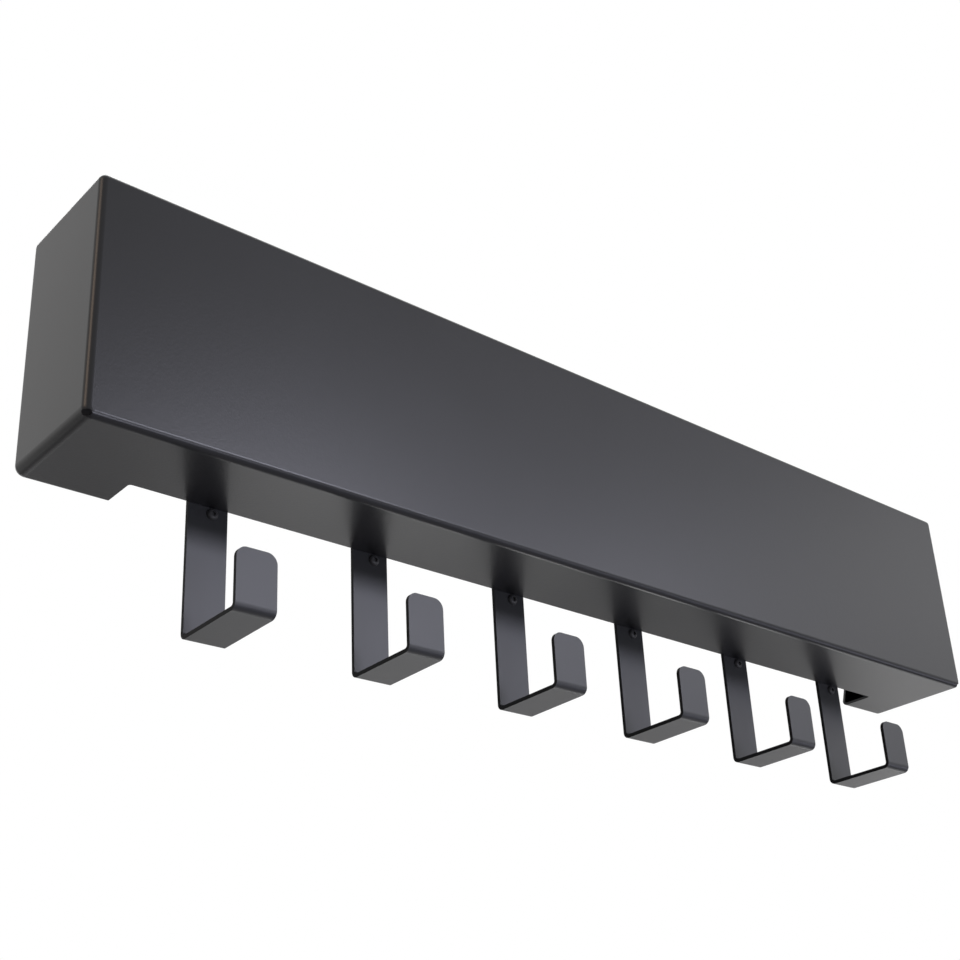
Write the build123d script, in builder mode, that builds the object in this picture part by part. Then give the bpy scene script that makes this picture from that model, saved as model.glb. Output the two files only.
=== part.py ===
from build123d import *
import os
from math import radians, tan

# Wall coat rack: a folded sheet-steel box that hangs on two wall screws, with a row of
# J-shaped strip hooks below it. Millimetres, X along the wall, -Y into the room, +Z up.
# The origin is in the wall plane, midway between the two keyhole slots.

# Housing sheet
length = 600
height = 118
depth = 65
sheet = 1.5
bend_radius = 3
lower_seam_radius = 4.5
upper_seam_radius = 3.2

# Underside: a narrow flange between two full-depth tabs
flange_depth = 44
left_tab_width = 42.5
right_tab_width = 38
notch_corner_radius = 1.5

# Rear rim in the wall plane
top_rim = 32
side_rim = 26
foot_slant = 20
rim_corner_radius = 3

# Keyhole slots for the wall screws
keyhole_span = 400
keyhole_drop = 14
slot_width = 5
slot_travel = 10
head_hole = 10

# Blind relief where the front, end and underside bends meet, deep from the sharp corner
relief_length = 4.5
relief_width = 2.6
relief_depth = 3.7

# Hooks, bent from flat strip
hook_count = 6
hook_margin = 80.75
strip_width = 19.7
strip = 2
strip_bend_radius = 1.5
hook_drop = 65
hook_reach = 41.5
lip_height = 28.5
lip_corner_radius = 5
hook_gap = 0.2

# Rail behind the strips, with a lug down behind each one: the strips hang over its top edge
rail_height = 26
rail_rise = 0.5
rail_thickness = 2
rail_edge_share = 0.45
lug_width = 14
lug_drop = 12
lug_corner_cut = 3
fold_drop = 10
fold_share = 0.4
fold_clearance = 0.2

# Button-head screws below the flange
screw_drop = 3.1
screw_offset = 2
screw_radius = 1.5
screw_head_radius = 2.85
screw_head_height = 1.65
socket_across_flats = 2
socket_depth = 1
screw_hole_clearance = 0.2
thread_clearance = 0.02
rim_land = 0.1

# Edges are picked by place within this much either way
pick_band = 0.1

# Planes and levels that follow from the sizes above
top = keyhole_drop
underside = top - height
front = -depth
strip_front = front + flange_depth + hook_gap
rail_front = strip_front + strip
rail_back = rail_front + rail_thickness
rail_foot = underside + lower_seam_radius + rail_rise
rail_top = rail_foot + rail_height
rail_edge_cut = rail_edge_share * rail_thickness
fold_radius = fold_share * rail_thickness
screw_level = underside - screw_drop
inner_length = length - 2 * sheet
notch_left = left_tab_width - length / 2
notch_right = length / 2 - right_tab_width
rim_side = length / 2 - side_rim
foot_top = underside + bend_radius
left_slant_top = foot_top + (left_tab_width - side_rim) / tan(radians(foot_slant))
right_slant_top = foot_top + (right_tab_width - side_rim) / tan(radians(foot_slant))
hook_pitch = (length - 2 * hook_margin) / (hook_count - 1)
hook_places = [(i - (hook_count - 1) / 2) * hook_pitch for i in range(hook_count)]


def facing_room(x, y, z):
    """Plane that looks into the room: its X along the wall, its Y up."""
    return Plane(origin=(x, y, z), x_dir=(1, 0, 0), z_dir=(0, -1, 0))


def side_on(x):
    """Plane across the rack at x: its X towards the wall, its Y up."""
    return Plane(origin=(x, 0, 0), x_dir=(0, 1, 0), z_dir=(1, 0, 0))


def folded_box(inset):
    """The housing's closed outer form, drawn in by inset on every side, with its bends."""
    with BuildPart() as box:
        with Locations((0, front / 2, (top + underside) / 2)):
            Box(length - 2 * inset, depth - 2 * inset, height - 2 * inset)
        fillet(box.edges().filter_by(Axis.Y).group_by(Axis.Z)[0], lower_seam_radius - inset)
        fillet(box.edges().filter_by(Axis.Y).group_by(Axis.Z)[-1], upper_seam_radius - inset)
        fillet(box.faces().sort_by(Axis.Y)[0].edges(), bend_radius - inset)
        fillet(box.faces().sort_by(Axis.Y)[-1].edges(), bend_radius - inset)
    return box.part


def edges_at(edges, axis, place):
    """Those of the edges that lie at this place along the axis."""
    return edges.filter_by_position(axis, place - pick_band, place + pick_band)


def save(piece, name):
    piece.part.label = name
    export_step(piece.part, f"parts/{name}.step")


def keyhole():
    """Head hole with a narrower slot that rises from it to the screw's seat."""
    with Locations((0, -slot_travel)):
        Circle(head_hole / 2)
    with Locations((0, -slot_travel / 2)):
        SlotCenterToCenter(slot_travel, slot_width, rotation=90)


os.makedirs("parts", exist_ok=True)

# Housing: front, top, ends, underside and rear rim, folded and welded into one sheet shell
outside = folded_box(0)
inside = folded_box(sheet)
with BuildPart() as housing:
    add(outside)
    add(inside, mode=Mode.SUBTRACT)

    # Notch in the underside, and the rear opening that slants up from it to the rim's sides
    with BuildSketch(Plane.XY.offset(underside)):
        with Locations((notch_left, 0)):
            Rectangle(notch_right - notch_left, depth - flange_depth, align=(Align.MIN, Align.MAX))
    extrude(amount=bend_radius, mode=Mode.SUBTRACT)
    with BuildSketch(facing_room(0, 0, 0)):
        with BuildLine():
            Polyline(
                (notch_left, underside),
                (notch_left, foot_top),
                (-rim_side, left_slant_top),
                (-rim_side, top - top_rim),
                (rim_side, top - top_rim),
                (rim_side, right_slant_top),
                (notch_right, foot_top),
                (notch_right, underside),
                close=True,
            )
        make_face()
    extrude(amount=bend_radius, mode=Mode.SUBTRACT)
    notch_corners = edges_at(housing.edges().filter_by(Axis.Z), Axis.Y, front + flange_depth)
    fillet(notch_corners, notch_corner_radius)
    rim_corners = edges_at(housing.edges().filter_by(Axis.Y), Axis.Z, top - top_rim)
    fillet(rim_corners, rim_corner_radius)

    # Keyhole slots in the top of the rim
    with BuildSketch(facing_room(0, 0, 0)):
        with GridLocations(keyhole_span, 0, 2, 1):
            keyhole()
    extrude(amount=sheet, mode=Mode.SUBTRACT)

    # Reliefs in the two lower front corners, along their diagonals
    for side in (-1, 1):
        corner = (side * length / 2, front, underside)
        diagonal = Plane(origin=corner, x_dir=(1, side, 0), z_dir=(-side, 1, 1))
        with BuildSketch(diagonal):
            SlotOverall(relief_length, relief_width)
        extrude(amount=relief_depth, mode=Mode.SUBTRACT)

save(housing, "housing")

# Rail: a strip of plate behind the hooks, welded across the housing from end to end
with BuildPart() as hook_rail:
    with BuildSketch(facing_room(0, rail_front, rail_foot)):
        Rectangle(inner_length, rail_height, align=(Align.CENTER, Align.MIN))
    extrude(amount=-rail_thickness)
    chamfer(hook_rail.faces().sort_by(Axis.Z)[-1].edges().filter_by(Axis.X), rail_edge_cut)
    with BuildSketch(facing_room(0, rail_front, rail_foot)):
        with Locations([(x, 0) for x in hook_places]):
            Rectangle(lug_width, lug_drop, align=(Align.CENTER, Align.MAX))
    extrude(amount=-rail_thickness)
    lug_corners = edges_at(hook_rail.edges().filter_by(Axis.Y), Axis.Z, rail_foot - lug_drop)
    chamfer(lug_corners, lug_corner_cut)
    with BuildSketch(facing_room(0, rail_front, screw_level)):
        with Locations([(x + screw_offset, 0) for x in hook_places]):
            Circle(screw_radius + thread_clearance)
    extrude(amount=-rail_thickness, mode=Mode.SUBTRACT)

save(hook_rail, "hook_rail")

# Hooks: a strip folded over the rail, down behind the flange, forward and up into a lip
for number, x in enumerate(hook_places, start=1):
    with BuildPart() as hook:
        with BuildSketch(side_on(x)):
            with BuildLine():
                front_face = FilletPolyline(
                    (rail_back + fold_clearance + strip, rail_top - fold_drop),
                    (rail_back + fold_clearance + strip, rail_top + strip),
                    (strip_front, rail_top + strip),
                    (strip_front, underside - hook_drop + strip),
                    (strip_front - hook_reach + strip, underside - hook_drop + strip),
                    (strip_front - hook_reach + strip, underside - hook_drop + lip_height),
                    radius=[
                        fold_radius + strip,
                        fold_radius + strip,
                        strip_bend_radius,
                        strip_bend_radius,
                    ],
                )
                offset(front_face, amount=strip, side=Side.LEFT)
            make_face()
        extrude(amount=strip_width / 2, both=True)
        lip_end = hook.faces().filter_by(Axis.Z).sort_by(Axis.Y)[0]
        fillet(lip_end.edges().filter_by(Axis.Y), lip_corner_radius)
        with BuildSketch(facing_room(x, strip_front, screw_level)):
            with Locations((screw_offset, 0)):
                Circle(screw_radius + screw_hole_clearance)
        extrude(amount=-strip, mode=Mode.SUBTRACT)
    save(hook, f"hook_{number}")

# Screws: button heads just below the flange, threaded into the lugs
with BuildPart() as hook_screws:
    with BuildSketch(facing_room(0, strip_front, screw_level)):
        with Locations([(x + screw_offset, 0) for x in hook_places]):
            Circle(screw_radius)
    extrude(amount=-(strip + rail_thickness))
    with BuildSketch(facing_room(0, strip_front, screw_level)):
        with Locations([(x + screw_offset, 0) for x in hook_places]):
            Circle(screw_head_radius)
    extrude(amount=screw_head_height)
    head_rims = hook_screws.edges().filter_by(GeomType.CIRCLE).group_by(Axis.Y)[0]
    fillet(head_rims, screw_head_height - rim_land)
    with BuildSketch(facing_room(0, strip_front - screw_head_height, screw_level)):
        with Locations([(x + screw_offset, 0) for x in hook_places]):
            RegularPolygon(socket_across_flats / 2, 6, major_radius=False)
    extrude(amount=-socket_depth, mode=Mode.SUBTRACT)

save(hook_screws, "hook_screws")
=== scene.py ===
import math

import bpy
from mathutils import Matrix, Vector

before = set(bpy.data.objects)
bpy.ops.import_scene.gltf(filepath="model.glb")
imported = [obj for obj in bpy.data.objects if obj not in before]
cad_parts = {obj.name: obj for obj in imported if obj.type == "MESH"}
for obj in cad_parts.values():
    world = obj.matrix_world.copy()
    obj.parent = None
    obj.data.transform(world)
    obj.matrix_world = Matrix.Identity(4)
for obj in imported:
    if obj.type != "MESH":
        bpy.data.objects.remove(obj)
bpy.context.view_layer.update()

HOOK_COUNT = 6

# Camera, solved from the photograph's straight edges
IMAGE_SIZE = 960
FOCAL_PX = 1493.0
PRINCIPAL_PX = (536.6, 541.7)
SENSOR_MM = 36.0
NEAR_CLIP = 0.01
CAMERA_AT = Vector((-0.5178, -0.5472, -0.4043))
CAMERA_RIGHT = Vector((0.74543, -0.66375, -0.06137))
CAMERA_DOWN = Vector((0.23866, 0.35172, -0.90517))

# Pale floor, far below the hanging rack
FLOOR_Z = -1.5
FLOOR_SIZE = 12.0
FLOOR_COLOUR = (0.8, 0.8, 0.8, 1.0)
FLOOR_ROUGHNESS = 0.8

# Satin black coats. The strips' side edges shine less than their faces: painted shade that makes them
# render dark.
HOUSING_COLOUR = (0.01, 0.01, 0.011)
HOUSING_ROUGHNESS = 0.3
HOUSING_SPECULAR = 0.23
HOOK_COLOUR = (0.01, 0.0105, 0.012)
HOOK_ROUGHNESS = 0.43
HOOK_SPECULAR = 0.34
HOOK_SHADED_EDGE_SPECULAR = 0.04
SCREW_COLOUR = (0.02, 0.02, 0.021)
SCREW_ROUGHNESS = 0.55
SCREW_SPECULAR = 0.3

# Slow drift of a coat's shade and roughness, either way
DRIFT_SCALE = 9.0
DRIFT_DETAIL = 3.0
SHADE_DRIFT = 0.07
ROUGHNESS_DRIFT = 0.03

# Pebbled skin of a coat
PEBBLE_SCALE = 900.0
PEBBLE_DETAIL = 2.0
PEBBLE_STRENGTH = 0.12
PEBBLE_DEPTH = 0.0002

# Share of the normal that points along the wall at which a strip's side edge, dulled as painted shade,
# begins and is full
SHADE_EDGE_BEGINS = 0.9
SHADE_EDGE_FULL = 0.95

# Background colours
BLACK = (0, 0, 0, 1)
WHITE = (1, 1, 1, 1)

# Tints of the studio light
NEUTRAL = (1.0, 1.0, 1.0)
COOL = (0.94, 0.95, 1.13)
LAMPLIGHT = (1.3, 0.97, 0.73)

# Studio softboxes, all equally far from the rack
LIGHT_CENTRE = Vector((0, -0.03, -0.06))
LIGHT_DISTANCE = 2.2

# Name, azimuth from straight ahead towards +X (degrees), elevation (degrees), side (m), power (W), tint
SOFTBOXES = [
    ("front_below", 10, -18, 0.5, 16, COOL),
    ("front_above", 22, 18, 0.5, 21, COOL),
    ("front_right_below", 40, -20, 0.5, 3.7, COOL),
    ("front_right_above", 42, 17, 0.5, 4.8, COOL),
    ("far_right_below", 62, -24, 0.6, 3.4, COOL),
    ("far_right_above", 60, 18, 0.5, 1, NEUTRAL),
    ("left_side", -80, 25, 0.9, 9.5, LAMPLIGHT),
    ("left_back_below", -152, -18, 0.9, 2.5, NEUTRAL),
    ("back_below", 180, -22, 0.7, 3.2, NEUTRAL),
    ("back_low", 165, -40, 0.6, 1.6, NEUTRAL),
    ("back_right_low", 147, -38, 0.6, 5, NEUTRAL),
    ("right_back_low", 125, -42, 0.7, 11, NEUTRAL),
    ("right_below", 110, -26, 0.8, 3.6, NEUTRAL),
    ("overhead", 120, 80, 1.6, 6, NEUTRAL),
    ("back_fill", 170, 48, 0.9, 10, NEUTRAL),
    ("back_fill_right", 140, 25, 0.9, 10, NEUTRAL),
    ("right_fill", 95, 15, 0.9, 8, NEUTRAL),
]


def new_material(name):
    """A node material with only a Principled shader, joined to its output."""
    material = bpy.data.materials.new(name)
    material.use_nodes = True
    tree = material.node_tree
    tree.nodes.clear()
    output = tree.nodes.new("ShaderNodeOutputMaterial")
    shader = tree.nodes.new("ShaderNodeBsdfPrincipled")
    tree.links.new(shader.outputs["BSDF"], output.inputs["Surface"])
    return material, shader


def powder_coat(name, colour, roughness, specular, shaded_edge_specular=None):
    """Satin powder coat: a fine pebbled skin over sheet steel, with faint shade and gloss drift."""
    material, shader = new_material(name)
    tree = material.node_tree
    make, link = tree.nodes.new, tree.links.new
    coords = make("ShaderNodeTexCoord")

    drift = make("ShaderNodeTexNoise")
    drift.inputs["Scale"].default_value = DRIFT_SCALE
    drift.inputs["Detail"].default_value = DRIFT_DETAIL
    link(coords.outputs["Object"], drift.inputs["Vector"])
    shade = make("ShaderNodeMix")
    shade.data_type = "RGBA"
    shade.inputs["A"].default_value = (*[c * (1 - SHADE_DRIFT) for c in colour], 1.0)
    shade.inputs["B"].default_value = (*[c * (1 + SHADE_DRIFT) for c in colour], 1.0)
    link(drift.outputs["Fac"], shade.inputs["Factor"])
    link(shade.outputs["Result"], shader.inputs["Base Color"])

    gloss = make("ShaderNodeMapRange")
    gloss.inputs["To Min"].default_value = roughness - ROUGHNESS_DRIFT
    gloss.inputs["To Max"].default_value = roughness + ROUGHNESS_DRIFT
    link(drift.outputs["Fac"], gloss.inputs["Value"])
    link(gloss.outputs["Result"], shader.inputs["Roughness"])
    shader.inputs["Specular IOR Level"].default_value = specular

    if shaded_edge_specular is not None:
        # Painted shade: the cut edges of a strip face along the wall and get a lower specular level, so
        # they render dark
        split = make("ShaderNodeSeparateXYZ")
        link(coords.outputs["Normal"], split.inputs["Vector"])
        side = make("ShaderNodeMath")
        side.operation = "ABSOLUTE"
        link(split.outputs["X"], side.inputs[0])
        edge_shade = make("ShaderNodeMapRange")
        edge_shade.inputs["From Min"].default_value = SHADE_EDGE_BEGINS
        edge_shade.inputs["From Max"].default_value = SHADE_EDGE_FULL
        edge_shade.inputs["To Min"].default_value = specular
        edge_shade.inputs["To Max"].default_value = shaded_edge_specular
        link(side.outputs["Value"], edge_shade.inputs["Value"])
        link(edge_shade.outputs["Result"], shader.inputs["Specular IOR Level"])

    pebble = make("ShaderNodeTexNoise")
    pebble.inputs["Scale"].default_value = PEBBLE_SCALE
    pebble.inputs["Detail"].default_value = PEBBLE_DETAIL
    link(coords.outputs["Object"], pebble.inputs["Vector"])
    bump = make("ShaderNodeBump")
    bump.inputs["Strength"].default_value = PEBBLE_STRENGTH
    bump.inputs["Distance"].default_value = PEBBLE_DEPTH
    link(pebble.outputs["Fac"], bump.inputs["Height"])
    link(bump.outputs["Normal"], shader.inputs["Normal"])
    return material


def paint(node, material):
    """The CAD node takes this material in all its slots."""
    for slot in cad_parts[node].material_slots:
        slot.material = material


def add_camera():
    """The photograph's camera, with its lens shifted to the solved centre of perspective."""
    data = bpy.data.cameras.new("camera")
    data.sensor_width = SENSOR_MM
    data.lens = FOCAL_PX * SENSOR_MM / IMAGE_SIZE
    middle = (IMAGE_SIZE - 1) / 2
    data.shift_x = (middle - PRINCIPAL_PX[0]) / IMAGE_SIZE
    data.shift_y = (PRINCIPAL_PX[1] - middle) / IMAGE_SIZE
    data.clip_start = NEAR_CLIP
    camera = bpy.data.objects.new("camera", data)
    bpy.context.scene.collection.objects.link(camera)
    up = -CAMERA_DOWN
    back = CAMERA_RIGHT.cross(up)
    turn = Matrix((CAMERA_RIGHT, up, back)).transposed()
    camera.matrix_world = Matrix.Translation(CAMERA_AT) @ turn.to_4x4()
    bpy.context.scene.camera = camera


def add_floor():
    """A plain square floor, which isn't part of the object."""
    half = FLOOR_SIZE / 2
    mesh = bpy.data.meshes.new("floor")
    corners = [(-half, -half, 0), (half, -half, 0), (half, half, 0), (-half, half, 0)]
    mesh.from_pydata(corners, [], [(0, 1, 2, 3)])
    floor = bpy.data.objects.new("floor", mesh)
    floor.location = (0, 0, FLOOR_Z)
    bpy.context.scene.collection.objects.link(floor)
    material, shader = new_material("floor")
    shader.inputs["Base Color"].default_value = FLOOR_COLOUR
    shader.inputs["Roughness"].default_value = FLOOR_ROUGHNESS
    floor.data.materials.append(material)


def add_softbox(name, azimuth, elevation, side, power, tint):
    """A square softbox that looks at the rack from this bearing."""
    data = bpy.data.lights.new(name, "AREA")
    data.shape = "SQUARE"
    data.size = side
    data.energy = power
    data.color = tint
    lamp = bpy.data.objects.new(name, data)
    turn, rise = math.radians(azimuth), math.radians(elevation)
    bearing = Vector(
        (math.sin(turn) * math.cos(rise), -math.cos(turn) * math.cos(rise), math.sin(rise))
    )
    lamp.location = LIGHT_CENTRE + LIGHT_DISTANCE * bearing
    lamp.rotation_mode = "QUATERNION"
    lamp.rotation_quaternion = (-bearing).to_track_quat("-Z", "Y")
    bpy.context.scene.collection.objects.link(lamp)


def set_world():
    """Plain white behind the object and in its reflections: the softboxes give all other light."""
    world = bpy.data.worlds.new("studio")
    bpy.context.scene.world = world
    world.use_nodes = True
    tree = world.node_tree
    tree.nodes.clear()
    make, link = tree.nodes.new, tree.links.new
    output = make("ShaderNodeOutputWorld")
    dark = make("ShaderNodeBackground")
    dark.inputs["Color"].default_value = BLACK
    white = make("ShaderNodeBackground")
    white.inputs["Color"].default_value = WHITE
    path = make("ShaderNodeLightPath")
    sees_white = path.outputs["Is Camera Ray"]
    for ray in ("Is Glossy Ray", "Is Transmission Ray"):
        either = make("ShaderNodeMath")
        either.operation = "MAXIMUM"
        link(sees_white, either.inputs[0])
        link(path.outputs[ray], either.inputs[1])
        sees_white = either.outputs["Value"]
    mix = make("ShaderNodeMixShader")
    link(sees_white, mix.inputs["Fac"])
    link(dark.outputs["Background"], mix.inputs[1])
    link(white.outputs["Background"], mix.inputs[2])
    link(mix.outputs["Shader"], output.inputs["Surface"])


add_camera()
add_floor()
set_world()
for softbox in SOFTBOXES:
    add_softbox(*softbox)

housing_coat = powder_coat("housing_coat", HOUSING_COLOUR, HOUSING_ROUGHNESS, HOUSING_SPECULAR)
hook_coat = powder_coat(
    "hook_coat", HOOK_COLOUR, HOOK_ROUGHNESS, HOOK_SPECULAR, HOOK_SHADED_EDGE_SPECULAR
)
screw_finish = powder_coat("screw_finish", SCREW_COLOUR, SCREW_ROUGHNESS, SCREW_SPECULAR)
paint("housing", housing_coat)
paint("hook_rail", housing_coat)
for number in range(1, HOOK_COUNT + 1):
    paint(f"hook_{number}", hook_coat)
paint("hook_screws", screw_finish)

bpy.context.scene.view_settings.view_transform = "Standard"
